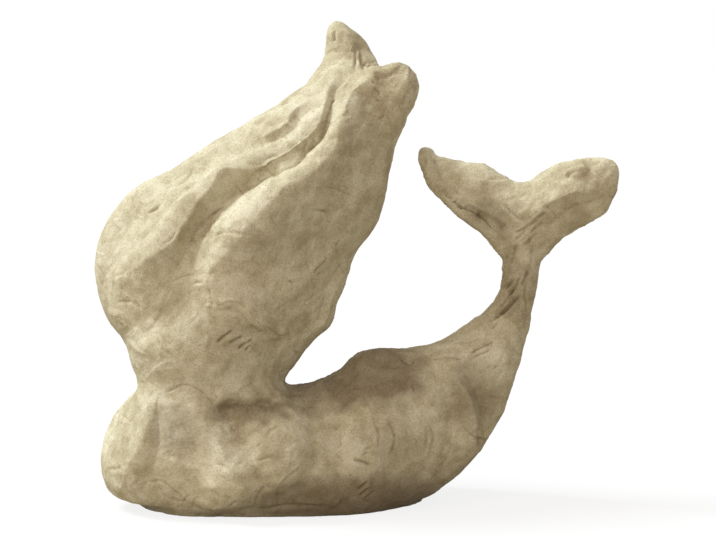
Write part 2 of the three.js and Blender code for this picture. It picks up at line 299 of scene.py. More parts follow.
start = places(skin)
thin = belongs(owners_of_corners(skin), THIN)
room = np.minimum(BUST_END - start[:, 0], BUST_TOP - start[:, 2])
bust = np.clip(room / BUST_FADE, 0, 1)
melt = skin.vertex_groups.new(name="melt")
melt.add(np.flatnonzero(~thin).tolist(), 1, "REPLACE")
melt.add(np.flatnonzero(thin).tolist(), THIN_SHARE, "REPLACE")
soften(MELT, "melt")
for _ in range(BRIDGE_PASSES):
    before = places(skin)
    normals = outward(skin)
    soften(BRIDGE, "melt")
    gain = np.maximum(bulge(before, places(skin), normals), 0) * bust
    put(skin, before + normals * gain[:, None])
soften(MELT / 2, "melt")
print("deepest hollow bridged, mm:", round(bulge(start, places(skin), outward(skin)).max(), 1))

# %% Refine the side that the eye sees
SHOWN = -0.15  # faces turned this much to the eye are refined, to a little past the outline
FINE = VOXEL / 2  # mesh size there afterwards

shown = [face.normal.dot((eye - face.center).normalized()) > SHOWN for face in skin.data.polygons]
with editing(skin, "DESELECT"):
    bpy.ops.mesh.select_mode(type="FACE")
skin.data.polygons.foreach_set("select", shown)
with editing(skin):
    bpy.ops.mesh.subdivide()
soften(FINE / 2, "melt", FINE)
print("refined faces:", sum(shown), "to", len(skin.data.polygons))

# %% [markdown]
# ## Creasing the paper
#
# Each fold is a line and a cross-section. The line is drawn in millimetres on the mid plane, as the eye
# sees it. The cross-section is drawn as [distance from the line, height], with distances above 0 on the
# right of someone who walks along it. Straight stretches between its points give the crisp planes that
# folded paper has. Larger planes are draped between lines that have heights of their own. All heights are
# added up and the skin is moved by them along its normals. Sculpting by brush could do the same, but a
# fold that is written down can be moved or deepened by one number.

# %% Sight lines
WANDER = 0.7  # how far a hand-made line strays, mm
WANDER_LENGTH = 6
FACING_FROM, FACING_TO = 0.05, 0.35  # a fold fades out where the skin turns away from the eye
NEAR, FAR = "near", "far"
SEED = 11  # for all that is random, so that each run gives the same

near_eye = np.array(eye) / MM
eyes = {NEAR: near_eye, FAR: near_eye * [1, -1, 1]}
corner_owner = owners_of_corners(skin)
noise.seed_set(SEED)
stray = np.array([noise.noise_vector(Vector(p) / WANDER_LENGTH) for p in places(skin)]) * WANDER


def seen_from(point, base, normals):
    """Each vertex as thrown from a point on to the mid plane, and how much it faces that point."""
    share = point[1] / (point[1] - base[:, 1])
    flat = point[[0, 2]] + (base[:, [0, 2]] - point[[0, 2]]) * share[:, None]
    sight = point - base
    sight /= np.linalg.norm(sight, axis=1)[:, None]
    facing = np.einsum("ij,ij->i", sight, normals)
    return flat + stray[:, [0, 2]], np.clip((facing - FACING_FROM) / (FACING_TO - FACING_FROM), 0, 1)


def survey():
    """The skin as it is now: vertices, normals, a height of 0 for each, and how each eye sees it."""
    base, normals = places(skin), outward(skin)
    views = {side: seen_from(point, base, normals) for side, point in eyes.items()}
    return base, normals, np.zeros(len(base)), views


base, normals, lift, views = survey()
print("points seen from the front and from behind:", [int((view[1] > 0).sum()) for view in views.values()])

# %% Curves that folds run along
STEP = 1.2  # spacing of the points that a line is walked in, mm


def distances(points):
    """How far along a line of points each of them lies."""
    return np.concatenate([[0], np.cumsum(np.linalg.norm(np.diff(points, axis=0), axis=1))])


def walked(line):
    """The line as a smooth curve through its points, in even steps."""
    points = np.array(line, float)
    stops = distances(points)
    ends = [2 * points[0] - points[1], *points, 2 * points[-1] - points[-2]]
    curve = []
    for i in range(len(points) - 1):
        a, b, c, d = ends[i : i + 4]
        square = 2 * a - 5 * b + 4 * c - d
        cube = 3 * b - a - 3 * c + d
        count = max(2, int((stops[i + 1] - stops[i]) / STEP) + 1)
        for t in np.arange(count) / count:
            curve.append(0.5 * (2 * b + (c - a) * t + square * t**2 + cube * t**3))
    return np.array([*curve, points[-1]])


def along_and_across(points, curve):
    """How far along the curve each point lies, and how far to the right of it."""
    step = np.diff(curve, axis=0)
    length = np.linalg.norm(step, axis=1)
    way = step / length[:, None]
    gap = points[:, None, :] - curve[:-1]
    run = np.clip(np.einsum("ijk,jk->ij", gap, way), 0, length)
    distance = np.linalg.norm(gap - run[:, :, None] * way, axis=2)
    nearest = distance.argmin(1)
    row = np.arange(len(points))
    cross = way[nearest, 1] * gap[row, nearest, 0] - way[nearest, 0] * gap[row, nearest, 1]
    walked_before = np.cumsum(length) - length
    return walked_before[nearest] + run[row, nearest], distance[row, nearest] * np.sign(cross)


# %% Crease, drape and press
UNEVEN = 0.3  # share by which a fold grows and shrinks along its line
UNEVEN_LENGTH = 10
BATCH = 8000  # vertices worked on at once, which keeps the memory small
CLOSEST = 0.01  # draped lines never count as closer than this, mm


def batches(marks):
    """The numbers of the marked vertices, some thousands at a time."""
    at = np.flatnonzero(marks)
    return np.array_split(at, len(at) // BATCH + 1)


def crease(pieces, section, line, times, side, fade):
    """Add a fold along a line, on these pieces, with its cross-section's heights times a factor."""
    flat, facing = views[side]
    offsets, heights = np.array(section, float).T
    reach = max(-offsets[0], offsets[-1])
    curve = walked(line)
    stops = distances(curve)
    total = stops[-1]
    swell = [1 + UNEVEN * noise.noise(Vector((x, 0, z)) / UNEVEN_LENGTH) for x, z in curve]
    low, high = curve.min(0) - reach, curve.max(0) + reach
    close = ((flat > low) & (flat < high)).all(1) & (facing > 0) & belongs(corner_owner, pieces)
    for batch in batches(close):
        along, across = along_and_across(flat[batch], curve)
        ends = np.clip(np.minimum(along, total - along) / min(fade, total / 2), 0, 1)
        strength = times * ends * ends * (3 - 2 * ends) * np.interp(along, stops, swell)
        lift[batch] += np.interp(across, offsets, heights, 0, 0) * strength * facing[batch]


def creases(pieces, folds, side=NEAR):
    """Add folds: each row is a cross-section, a factor, how far its ends fade, and one or more lines."""
    for section, times, fade, *lines in folds:
        for line in lines:
            crease(pieces, section, line, times, side, fade)


def drape(pieces, lines, times=1):
    """Stretch the paper between lines of (x, z, height) that lie side by side, the left one first."""
    flat, facing = views[NEAR]
    curves = [walked(line) for line in lines]
    for batch in batches((facing > 0) & belongs(corner_owner, pieces)):
        across, height = np.empty((2, len(lines), len(batch)))
        for i, curve in enumerate(curves):
            along, across[i] = along_and_across(flat[batch], curve[:, :2])
            height[i] = np.interp(along, distances(curve[:, :2]), curve[:, 2])
        for i in range(len(lines) - 1):
            between = (across[i] > 0) & (across[i + 1] <= 0)
            share = across[i] / np.maximum(across[i] - across[i + 1], CLOSEST)
            slope = height[i] + (height[i + 1] - height[i]) * share
            lift[batch] += np.where(between, slope, 0) * times * facing[batch]


def press(middle, radius, height):
    """Push the skin out, or in below 0, round a place, as a thumb does."""
    away = np.linalg.norm(base - middle, axis=1) / radius
    lift[:] += height * np.clip(1 - away**2, 0, 1) ** 2


def tell(what):
    """Print how far the folds go so far."""
    print(what, "heights from", round(lift.min(), 1), "to", round(lift.max(), 1), "mm")


# %% [markdown]
# ## Cross-sections
#
# These are the few ways in which the paper of this figure folds all over. A small lip is a lock of hair
# that stands over a furrow, a step ridge is a fold with a steep side, a crease is a sharp valley, a
# wrinkle is a sharp ridge and a tear is the edge of a pasted patch. Rarer ones are drawn where they are
# used.

# %% Cross-sections, in mm
SMALL_LIP = [(-6, 0), (-1.2, 0.7), (-0.2, 0.8), (0.5, 0), (1.1, -0.55), (2.2, -0.45), (4, -0.15), (7, 0)]
SOFT_FURROW = [(-7, 0), (-3, -0.5), (-1, -0.95), (0, -1.05), (1, -0.95), (3, -0.5), (7, 0)]
SOFT_RIDGE = [(-7, 0), (-3, 0.5), (-1, 0.95), (0, 1.1), (1, 0.9), (3, 0.4), (7, 0)]
STEP_RIDGE = [(-8, 0), (-2.5, 0.6), (-0.4, 1.2), (0.5, 0.9), (2, -0.2), (4, -0.5), (9, 0)]
CREASE = [(-1.8, 0), (-0.5, 0.12), (0, -0.45), (0.5, -0.05), (1.1, 0.2), (2.4, 0)]
WRINKLE = [(-1.4, 0), (-0.5, 0.1), (0, 0.42), (0.4, 0.05), (0.8, -0.25), (1.8, 0)]
TEAR = [(-4, 0), (-0.4, 0.22), (0, 0.2), (0.4, -0.1), (2, 0)]

HAIR = ["hair_paper", "upper_point", "front_point"]
HEAD = ["head_paper", "hair_paper"]
BUST = ["head_paper", "propped_arm_paper", "folded_arm_paper", "body_paper", "base_board"]
TAIL = ["body_paper", "stem_paper", "base_board"]
FLUKE = ["fluke_paper", "stem_paper"]
print("cross-sections for", len(base), "points of skin")

# %% [markdown]
# ## The big planes
#
# Wet paper stretches flat from one ridge to the next furrow. So the large forms are given as lines with
# heights, side by side, and the paper is draped between them. On the hair they are a lip with the wall
# under it, the foot of that wall, and the sharp crest from which the hair turns away from the light. On
# the bust they are the edge of the propped arm, the chest and the dome of the folded arm, on the tail the
# soft folds round its bend, and on the fluke the hem of one lobe and the crest of the other. A light
# smoothing takes the knife edge off, and the finer folds then start from this shape. Creases alone would
# leave round swellings between them.

# %% Drape the hair
hair_top = [
    (-71.5, 56, 0), (-75, 65, 0), (-74.5, 75, 0), (-71, 82.5, 0), (-64, 89.5, 0), (-55.5, 95, 0),
    (-46.5, 100.5, 0), (-38.5, 105, 0), (-29.5, 109.5, 0), (-22.5, 114.5, 0), (-15, 120.5, 0),
    (-9.5, 126, 0), (-7, 131.5, 0),
]
hair_shoulder = [
    (-72, 61, 0), (-68.5, 69, 0), (-63, 76, -0.3), (-57.5, 82, -0.8), (-52, 88.5, -1.2),
    (-45, 95.8, -1.5), (-38, 100, -1.2), (-30.5, 102.5, -0.8), (-23.5, 106, -0.5), (-19, 109.5, 0),
    (-12.5, 118, 0), (-7, 126, 0),
]
hair_lip = [
    (-70, 62, 0), (-66, 65, 1), (-59.5, 70.5, 1.8), (-53.5, 76, 2.6), (-50.5, 79.5, 2.8), (-46, 87, 3),
    (-39.5, 94.5, 3), (-36, 96, 2.8), (-29.5, 97, 2.5), (-24, 98, 2.4), (-18.5, 100.5, 2.3),
    (-15, 103, 2.1), (-12.5, 106, 2), (-10, 110, 1.8), (-9, 114.5, 1.7), (-7.5, 119, 1.2),
    (-6.5, 121.5, 0.8), (-4.5, 123.5, 0),
]
hair_foot = [
    (-54, 62.5, 0), (-51.5, 68.5, -1), (-49, 74, -1.2), (-44.5, 81.5, -1.2), (-40, 86, -1.2),
    (-36, 89, -1.2), (-31.5, 92, -1.2), (-26, 95, -1.2), (-20.5, 97, -1.2), (-16, 100, -1.2),
    (-13, 103, -1.1), (-10, 106.5, -1), (-8.5, 111, -0.8), (-7, 115.5, -0.6), (-6, 118, -0.5),
    (-5, 120.5, -0.3), (-3, 122.5, 0),
]
hair_slope = [
    (-50, 60.5, 0), (-46, 68.3, -0.4), (-42.3, 73.5, -0.1), (-37.3, 80.8, 0.5), (-32.3, 86.5, 0.9),
    (-28, 90, 1.2), (-23, 93.2, 1.4), (-17.5, 96.5, 1.6), (-13, 99.3, 1.6), (-9.7, 102.5, 1.5),
    (-7.2, 107.5, 1.4), (-5.2, 112.8, 1.2), (-3.5, 117, 0.8), (-1, 120.5, 0.4), (2.5, 124, 0),
]
hair_crest = [
    (-47, 58.5, 0), (-41.5, 68, 1.2), (-37, 73, 2), (-31.5, 80, 2.8), (-25, 87, 3.4), (-20.5, 91, 3.4),
    (-14.5, 94.5, 3.2), (-10, 98.5, 3), (-6.5, 102, 2.8), (-4.5, 108.5, 2.6), (-2, 114.5, 2.4),
    (0, 118.5, 2), (3, 121.5, 1.5), (7.5, 125.5, 0),
]
hair_shade = [
    (-40, 58, 0), (-35.5, 66, 1), (-31, 71.5, 1.7), (-25.5, 78, 2.4), (-19.5, 84.5, 2.7),
    (-15, 88, 2.6), (-9.5, 91, 2.3), (-5, 95.5, 1.7), (-1.5, 100.5, 1), (0.5, 107.5, 0.3),
    (2.8, 113.5, -0.1), (5, 117.3, -0.3), (8, 120, -0.3), (11.5, 123.5, 0),
]
hair_end = [
    (-10, 49.5, 0), (-5.5, 56, 0), (-3.5, 66, 0), (1, 73, 0), (7.5, 81.5, 0), (9, 91.5, 0),
    (11, 101, 0), (13.5, 108.5, 0), (17, 117.5, 0), (18, 123.5, 0),
]
drape(HAIR, [hair_top, hair_shoulder, hair_lip, hair_foot, hair_slope, hair_crest, hair_shade, hair_end])
tell("hair:")

# %% Drape the bust
drape(BUST, [
    [(-72, 0, 0), (-74, 7.5, 0), (-72, 18.5, 0), (-67, 29, 0), (-63.5, 35, 0)],
    [(-69.5, 0, 0), (-67.5, 6.5, 0.8), (-64.5, 12.5, 1.2), (-61, 18.5, 1.4), (-59.5, 23.5, 1.4),
     (-62, 34.5, 0)],
    [(-62, -1, 0), (-61, 6.5, -1.2), (-58.5, 15, -1.5), (-57.5, 22.5, -0.8), (-57.5, 28, -0.4),
     (-59, 32.5, 0)],
    [(-31.5, -1, 0), (-33.5, 4.5, 2), (-36.5, 11, 3), (-40, 17.5, 2.4), (-45.5, 25, 0.8),
     (-50, 32.5, 0)],
    [(-25.5, -1, 0), (-29, 7.5, -0.8), (-32, 15, -1.4), (-34.5, 20.5, -1.4), (-38, 27, -0.8),
     (-41, 30.5, 0)],
    [(-19, 0, 0), (-17.5, 7.5, 0.8), (-17, 13, 1.3), (-19, 18.5, 1.5), (-22.5, 23.5, 1.2),
     (-26.5, 28, 0)],
    [(-14.5, 0, 0), (-10.5, 7.5, 0.6), (-9.5, 15, 0.8), (-11, 20.5, 0.8), (-13.5, 25, 0.6),
     (-17, 29, 0)],
    [(-9, -1, 0), (-5, 7.5, -0.6), (-4.5, 16, -1), (-6, 22.5, -1), (-8, 27, -0.6), (-11.5, 30.5, 0)],
    [(1, -1, 0), (4.5, 7.5, 0.8), (5, 16, 1), (4, 24, 1), (3.5, 32.5, 0.6), (2, 39, 0)],
    [(14, -1, 0), (16, 16, 0), (15, 24, 0), (12, 39, 0)],
])
tell("bust:")

# %% Drape the tail and the fluke
TAIL_TIMES = 1.6  # these folds are deeper than they are drawn, by this factor
LOBE_TIMES = 1.4
ROUND_OFF = 0.4  # radius that the draped edges are rounded over, mm

drape(TAIL, [
    [(12.5, 0, 0), (13, 13.5, 0), (12.5, 28.5, 0), (11, 38.5, 0), (9.5, 43.5, 0)],
    [(22.5, 4, 0), (26.5, 10, -0.8), (28.5, 16.5, -1.2), (28.5, 24, -1.3), (27.5, 29.5, -1.2),
     (24.5, 35.5, -0.9), (20.5, 41, -0.4), (16.5, 43.5, 0)],
    [(27.5, 5.5, 0), (31.5, 11, 0.6), (34, 17, 0.9), (34.5, 24, 1), (33.5, 29.5, 1), (30.5, 35, 0.8),
     (27, 38.5, 0.5), (22.5, 41.5, 0)],
    [(30.5, 8.5, 0), (35, 15, -0.6), (37, 21.5, -0.9), (37, 27.5, -1), (35, 32.5, -0.9),
     (32, 37.5, -0.5), (29, 40, 0)],
    [(33, 10, 0), (38, 17, 0.6), (41.5, 24.5, 0.9), (43.5, 31, 1), (44, 37, 0.8), (43, 43, 0.5),
     (40.5, 46.5, 0)],
    [(35.5, 12, 0), (40.5, 21, 0), (46, 31, 0), (48, 38.5, 0), (49.5, 46.5, 0)],
], TAIL_TIMES)
drape(FLUKE, [
    [(22, 102, 0), (29, 99.5, 0), (37, 98.5, 0), (41, 95.5, 0), (45.5, 93.5, 0)],
    [(24.5, 92.5, 0), (29, 89.5, 0.6), (34, 86.5, 0.9), (38.5, 84, 0.9), (43, 81.5, 0.6),
     (45.5, 79, 0)],
    [(25.5, 90, 0), (30, 86.5, -1), (34.5, 83, -1.6), (38.5, 79.5, -1.6), (42, 77, -1),
     (43.5, 74.5, 0)],
    [(22.5, 91, 0.2), (27.5, 86.5, 0.5), (33, 82, 0.6), (37.5, 78, 0.5), (40.5, 74.5, 0)],
    [(22, 90, 0), (27, 85.5, 0), (32, 81, 0), (36.5, 77, 0), (40, 73.5, 0)],
])
drape(FLUKE, [
    [(46, 93.5, 0), (50, 93.5, 0), (54, 95, 0), (59, 98.5, 0), (64, 100, 0), (70.5, 100.5, 0)],
    [(47, 79.5, 0), (50.5, 83.5, 1.2), (54, 86, 2), (57, 87.5, 2.2), (60, 89, 2.2), (63.5, 90.5, 2),
     (68, 91, 1.4), (73.5, 92.5, 0)],
    [(49, 77.5, 0), (53, 80.5, 0.2), (56.5, 82.5, 0.4), (59.5, 84.3, 0.4), (62.5, 86, 0.4),
     (66, 87.5, 0.3), (70, 88.5, 0.2), (74.5, 90, 0)],
    [(51.5, 72.5, 0), (56.5, 73.5, 0), (61, 76.5, 0), (67.5, 79.5, 0), (73, 84, 0), (75.5, 88, 0)],
], LOBE_TIMES)
tell("tail and fluke:")
put(skin, base + normals * lift[:, None])
soften(ROUND_OFF, "melt", FINE)
base, normals, lift, views = survey()
print("draped, lowest and highest point in mm:", base[:, 2].min().round(1), base[:, 2].max().round(1))

# %% [markdown]
# ## Hair
#
# The hair was modelled as a few heavy locks swept up to two points. One sharp crest runs up its middle
# and a deep furrow runs beside it, so one side catches the light and the other turns away from it. Those
# are draped already. What is left are a second lip, the hem over the face, the rolled edge and short
# creases, and each of them is one row with a line: a texture couldn't put them where the hand did.

# %% Folds of the hair, near side
second_lip = [
    (-30.5, 104.5), (-27.5, 105.5), (-24, 106.5), (-20.5, 108), (-18.5, 110), (-17.5, 112), (-14, 115),
    (-12.5, 117.5), (-10.5, 119.5),
]
hem = [(-41.5, 57), (-36, 58.5), (-31, 56.5), (-28, 53), (-24, 50), (-18, 48.5)]
rolled_edge = [(6.5, 82), (4.3, 76.8), (-1.5, 69), (-5.5, 64), (-7.4, 60), (-9.4, 53.5), (-16, 47.5)]
creases(HAIR, [
    (SMALL_LIP, 1.6, 8, second_lip),
    (SMALL_LIP, 0.6, 4, [(-32, 108), (-28.5, 110.5), (-25, 113)]),
    (SOFT_FURROW, 0.8, 6, [(-70, 76.5), (-67.5, 79), (-64.5, 81), (-60.5, 84.5), (-56, 87.5)]),
    (CREASE, 1.3, 2, [(-60.5, 85), (-57.5, 85.5), (-55.5, 87)]),
    (CREASE, 1.1, 4, [(-56, 88), (-53.5, 91), (-50, 92.5), (-47.5, 94.5), (-46.5, 97.5)]),
    (CREASE, 0.6, 2, [(-46.5, 78.5), (-41.5, 77.5), (-37.5, 78.5), (-31, 78), (-29, 78)]),
    (SOFT_RIDGE, 0.6, 6, [(0.5, 86), (1.5, 92.5), (3, 97.5)]),
    (SOFT_FURROW, 0.7, 8, [(-3, 68), (0.5, 78), (4, 86), (5, 94), (5, 102)]),
    (CREASE, 1, 2, [(-12.5, 85), (-9.5, 85), (-6.5, 84.5)]),
    (SOFT_RIDGE, 0.6, 6, [(5.5, 84.5), (7.5, 90.5), (9, 96.5), (8.5, 102.5)]),
    (SMALL_LIP, 1.2, 6, rolled_edge),
    (STEP_RIDGE, 0.7, 4, [(-21, 58), (-17, 62.5), (-12.5, 68), (-7, 73.5)]),
    (CREASE, 1.3, 1.2,
     [(-12, 67), (-10, 69), (-8, 71.5)], [(-11, 66), (-9, 67.5)], [(-20, 64.8), (-18, 64)]),
])
creases(HEAD, [
    (STEP_RIDGE, 1.3, 5, hem),
    (CREASE, 0.9, 5, hem),
    (CREASE, 0.35, 4, [(-71, 57), (-67, 58.5), (-63.5, 58), (-62, 55.5), (-61.5, 52)]),
    (TEAR, 1.2, 2, [(-70.5, 55), (-68, 53), (-65.5, 50.5)]),
])
press((-52, 0, 98), 14, -1.2)
press((-72, 0, 60), 12, -0.6)
tell("hair:")

# %% Folds of the two hair points
creases(HAIR, [
    (STEP_RIDGE, 0.9, 3, [(3.5, 123), (5.5, 124.5), (7.5, 125.5), (11, 126), (16.5, 126)]),
    (WRINKLE, 1.6, 1.5, [(0.5, 125), (1, 126.5), (0.5, 128.5), (1, 131)]),
    (CREASE, 1.2, 1, [(0, 126), (0, 129), (0, 131)]),
    (WRINKLE, 1.2, 1, [(1.5, 124.5), (1.5, 126), (1.5, 127.5)]),
    (WRINKLE, 1, 1, [(-2, 130.5), (0, 132.5)]),
    (CREASE, 1, 1, [(2, 127), (3.5, 127)]),
    (CREASE, 1.6, 1, [(-6, 133), (-6, 135), (-5.5, 136.5)]),
    (CREASE, 1, 1, [(-7.5, 115.5), (-6.5, 116), (-5.5, 117)]),
    (CREASE, 1.6, 1, [(4.5, 122.5), (6.5, 121)]),
    (CREASE, 1, 1, [(6, 117.5), (8, 116.5)]),
    (STEP_RIDGE, 0.8, 3, [(9.5, 113), (12.5, 118.5), (14.5, 122), (16.5, 124)]),
    (WRINKLE, 1.2, 1,
     [(15, 120), (15.5, 121.5)], [(15.5, 119), (16.5, 121)], [(12.5, 117), (14, 120)],
     [(6, 111.5), (8.5, 113)]),
])
press((-10, 4, 129), 8, -1.3)
press((9, -6, 128), 7, -1)
press((4, 0, 132.5), 7, -1.1)
tell("hair points:")

# %% [markdown]
# ## Head and arms
#
# The face is blank, as on any undecorated craft blank. The head rests on the bent arms, and where the wet
# paper was pushed into the gap under the chin it left one long winged crease. That crease has a section
# of its own, a soft step into a deep hollow. The rest are short creases, since the arms' planes are
# draped.

# %% Folds of the head and the arms
CHIN = [(-6, 0), (-2, 0.4), (-0.5, 0), (0.6, -1), (1.8, -1.2), (3.2, -0.6), (7, 0)]

creases(HEAD, [
    (SOFT_RIDGE, 0.6, 4, [(-62.5, 41.5), (-59, 46.5), (-53, 50), (-47, 52.5), (-44.5, 54)]),
    (WRINKLE, 0.6, 2, [(-43.5, 45), (-42.8, 47.5), (-42.5, 50)]),
    (CREASE, 1.8, 1.2,
     [(-40, 46.5), (-38, 48.5), (-35.5, 50.5)], [(-37, 46.5), (-34.5, 48), (-32, 49)],
     [(-34.5, 45), (-32, 46.5), (-29.5, 47.5)], [(-32, 44), (-31, 45.5), (-29.5, 46)]),
    (SOFT_RIDGE, 0.5, 3, [(-30.5, 44.5), (-28.5, 47), (-22, 48.5)]),
])
creases(BUST, [
    (CREASE, 0.8, 3, [(-56, 31.5), (-53, 33.5), (-49.5, 34.5), (-45.5, 33), (-42.5, 30), (-40.5, 28)]),
    (CHIN, 1.4, 4,
     [(-42, 28.5), (-40.5, 28), (-36, 30), (-32, 29.5), (-28, 30), (-24.5, 30.5), (-20.5, 31.5)]),
    (SOFT_FURROW, 1, 3, [(-29.5, 29.5), (-25.5, 31.5), (-21, 31.5)]),
    (WRINKLE, 0.8, 2, [(-23, 4.5), (-18.5, 9), (-16, 11)], [(-27, 18.5), (-25.5, 21), (-21.5, 23)]),
    (CREASE, 0.8, 4, [(-35.5, -3.5), (-27, -2), (-17.5, -1), (-7.5, -1.5)]),
    (CREASE, 0.7, 3, [(-62, 5.5), (-56.5, 5.5), (-53, 3), (-49, -1)]),
    (CREASE, 1, 1, [(-37, -2.5), (-36, -1), (-34.5, 0)]),
])
tell("head and arms:")

# %% [markdown]
# ## Body, tail and fluke
#
# The tail was bent up while the paper was wet, so soft folds run round the bend, and the thin stem and
# the fluke's root are twisted into wrinkles. The fluke's lobes are pinched: one has a rolled hem and the
# other a crest. Short wrinkles that turn round the stem say that it was twisted, which a smooth cone
# wouldn't.

# %% Folds of the body and the tail
creases(TAIL, [
    (STEP_RIDGE, 0.7, 6, [(-6, 37), (-1.5, 40), (5.5, 43), (10.5, 44), (16, 44.5)]),
    (CREASE, 1.4, 2,
     [(33, 43), (36.5, 45.5), (40.5, 47)], [(33.5, 41.5), (37.5, 44), (39.5, 44.5)],
     [(22, 41.5), (27, 42.5), (31.5, 41.5)], [(37.5, 52.5), (40.5, 54), (44, 56.5)],
     [(39, 50), (42, 52.5)], [(40.5, 56.5), (44, 59.5), (46.5, 63)],
     [(41.5, 55), (45, 57.5), (48, 60)]),
    (WRINKLE, 1.2, 2, [(34, 46), (36.5, 47), (39, 48)]),
    (CREASE, 1.2, 1, [(13, 42.5), (16, 40), (17.5, 41.5)], [(17.5, 31.5), (16, 34)]),
    (CREASE, 2, 1.5, [(-1, 12.5), (2.5, 11), (4.5, 10)]),
    (SOFT_RIDGE, 0.6, 2, [(5, 8), (7, 10), (9, 10)]),
    (CREASE, 1, 1,
     [(0.5, 3), (3.5, 6)], [(1, 1), (4, 4)], [(2.5, 0.5), (6, 3)], [(2, 14.5), (5, 16)],
     [(1.5, 13), (4, 14.5)]),
    (WRINKLE, 0.9, 3,
     [(9.5, 12), (10.5, 18.5), (9, 24.5)], [(5.5, 14.5), (6, 20), (4.5, 24.5)],
     [(20.5, 12), (22, 18.5), (20.5, 23)]),
    (CREASE, 0.9, 4,
     [(49, 50.5), (50, 55), (49.5, 61), (50, 66.5)], [(51, 52), (52, 58), (52.5, 63.5)]),
])
creases(TAIL + FLUKE, [
    (WRINKLE, 1.5, 1.2,
     [(42, 62.5), (44, 64), (46, 66)], [(40.5, 56.5), (43.5, 58.5), (46.5, 61)],
     [(41.5, 55.5), (45, 58.5), (48, 60.5)], [(39.5, 54.5), (42.5, 57)],
     [(44, 61), (46, 63), (46.5, 66)], [(47.5, 63), (48.5, 65.5), (49, 68)],
     [(45, 71.5), (45.5, 74), (46.5, 75.5)], [(43.5, 67), (44.5, 70), (45.5, 72.5)]),
])
tell("body and tail:")

# %% Folds of the fluke
ROLL = [(-4, 0.2), (-2, 0.9), (-0.4, 1), (0.3, 0.1), (1, -0.6), (2.5, -0.7), (7, 0)]
rolled_hem = [
    (43, 77.5), (39.5, 80.5), (35.5, 83), (32, 86), (29, 89), (26, 92), (23.5, 94.5), (22, 98.5),
    (22, 101),
]
creases(FLUKE, [
    (ROLL, 1, 2, rolled_hem),
    (SMALL_LIP, 0.7, 3, [(61.5, 94), (64, 95.5), (66, 96.5), (69, 97.5)]),
    (WRINKLE, 1.2, 1.5,
     [(25.5, 92), (23.5, 93)], [(25, 90.5), (26.5, 92)], [(26.5, 89), (28, 90.5)],
     [(28, 87.5), (29.5, 89.5)], [(30.5, 85.5), (32.5, 87.5)], [(34, 83), (35.5, 85)],
     [(45.5, 79), (49.5, 81), (52.5, 84), (54.5, 86)], [(47, 75.5), (49, 77.5), (51, 80), (53.5, 82.5)],
     [(48.5, 74.5), (50, 77), (52.5, 79.5)], [(45.5, 76), (46.5, 77.5), (48.5, 79.5)],
     [(48.5, 80.5), (45.5, 83), (42, 86.5)], [(47.5, 75), (49.5, 76.5), (50.5, 78)],
     [(57, 82), (56, 84), (54, 86)], [(59.5, 94), (61.5, 96), (65, 97), (67.5, 97)],
     [(68, 95.5), (66, 97), (65, 98.5)]),
    (SOFT_RIDGE, 0.5, 4, [(37, 89.5), (33.5, 94), (28, 98.5), (22, 100.5)]),
    (CREASE, 1.2, 1, [(20.5, 97.5), (20, 99.5), (20.5, 101)]),
])
tell("fluke:")

# %% [markdown]
# ## The far side
#
# The photograph doesn't show the back, so it is finished in the same hand: locks that run up to the
# points, soft folds round the bend of the tail, and the fluke's folds pressed through to the other face.
# They are thrown from a second eye behind the figure. A mirrored copy of the front would be too regular
# for handwork.

# %% Folds of the far side
CREST = [(-16, 0), (-7, 0.6), (-1.2, 3), (0, 3.2), (1.2, 2.3), (4, 1.2), (12, 0.3), (20, 0)]
LIP = [(-12, 0), (-4, 0.8), (-0.8, 1.4), (0, 1.3), (1.4, 0), (2.6, -0.9), (4.2, -1.1), (8, -0.4), (12, 0)]
WALL = [(-7, 0), (-1.5, 0.9), (-0.3, 0.9), (2.5, -1.5), (5, -2.5), (7.5, -2.2), (11, -0.8), (16, 0)]
DISH = [(0, 0), (2, -0.4), (5, -1), (9, -0.5), (14, 0)]
LOBE_CREST = [
    (-12, 0), (-9, -0.4), (-5, 0.4), (-1.5, 1.6), (0, 2), (0.7, 1.2), (2.4, -0.2), (6, -0.4), (10, 0),
]
far_crest = [(-50, 60), (-44, 72), (-35, 82), (-25, 91), (-14, 100), (-7, 109), (-4, 118), (-2, 127)]
far_lip = [(-66, 66), (-61, 76), (-52, 85), (-40, 93), (-28, 100), (-18, 108), (-11, 117)]
creases(HAIR, [
    (CREST, 0.8, 14, far_crest),
    (LIP, 0.8, 14, far_lip),
    (WALL, 0.8, 10, [(-26, 60), (-20, 70), (-11, 79), (-3, 88), (2, 97), (5, 106)]),
    (SMALL_LIP, 1.1, 6, [(-36, 101), (-28, 106), (-21, 112), (-14, 119)]),
    (SOFT_FURROW, 0.8, 6, [(-70, 72), (-64, 81), (-57, 88)]),
], FAR)
creases(HEAD, [
    (TEAR, 1.5, 3, [(-60, 50), (-50, 55), (-40, 54), (-30, 50), (-22, 49)]),
], FAR)
creases(TAIL, [
    (SOFT_FURROW, 0.8, 6, [(26, 16), (28, 24), (26, 33), (19, 41)], [(35, 18), (37, 28), (34, 40)]),
    (SOFT_RIDGE, 0.8, 12, [(-30, 12), (-14, 20), (0, 30), (12, 38)]),
], FAR)
creases(FLUKE, [
    (DISH, 0.9, 4, [(42.5, 78), (38.5, 82), (33, 86), (28, 90)]),
    (LOBE_CREST, 0.9, 4, [(48, 79), (53, 85), (60, 89.5), (68, 92)]),
], FAR)
creases(TAIL + FLUKE, [
    (WRINKLE, 1.2, 1.5,
     [(42, 55), (45, 58), (49, 60)], [(43, 60), (46, 62.5), (50, 64)], [(46, 72), (48, 76), (51, 79)],
     [(49, 72), (51, 77), (55, 81)]),
], FAR)
tell("with the far side:")

# %% [markdown]
# ## Small crinkles
#
# Between the big folds the paper has many short crinkles. They are more folds, drawn at random from a
# fixed seed, so every run gives the same ones. A bump texture could show them too, but not in the
# outline.

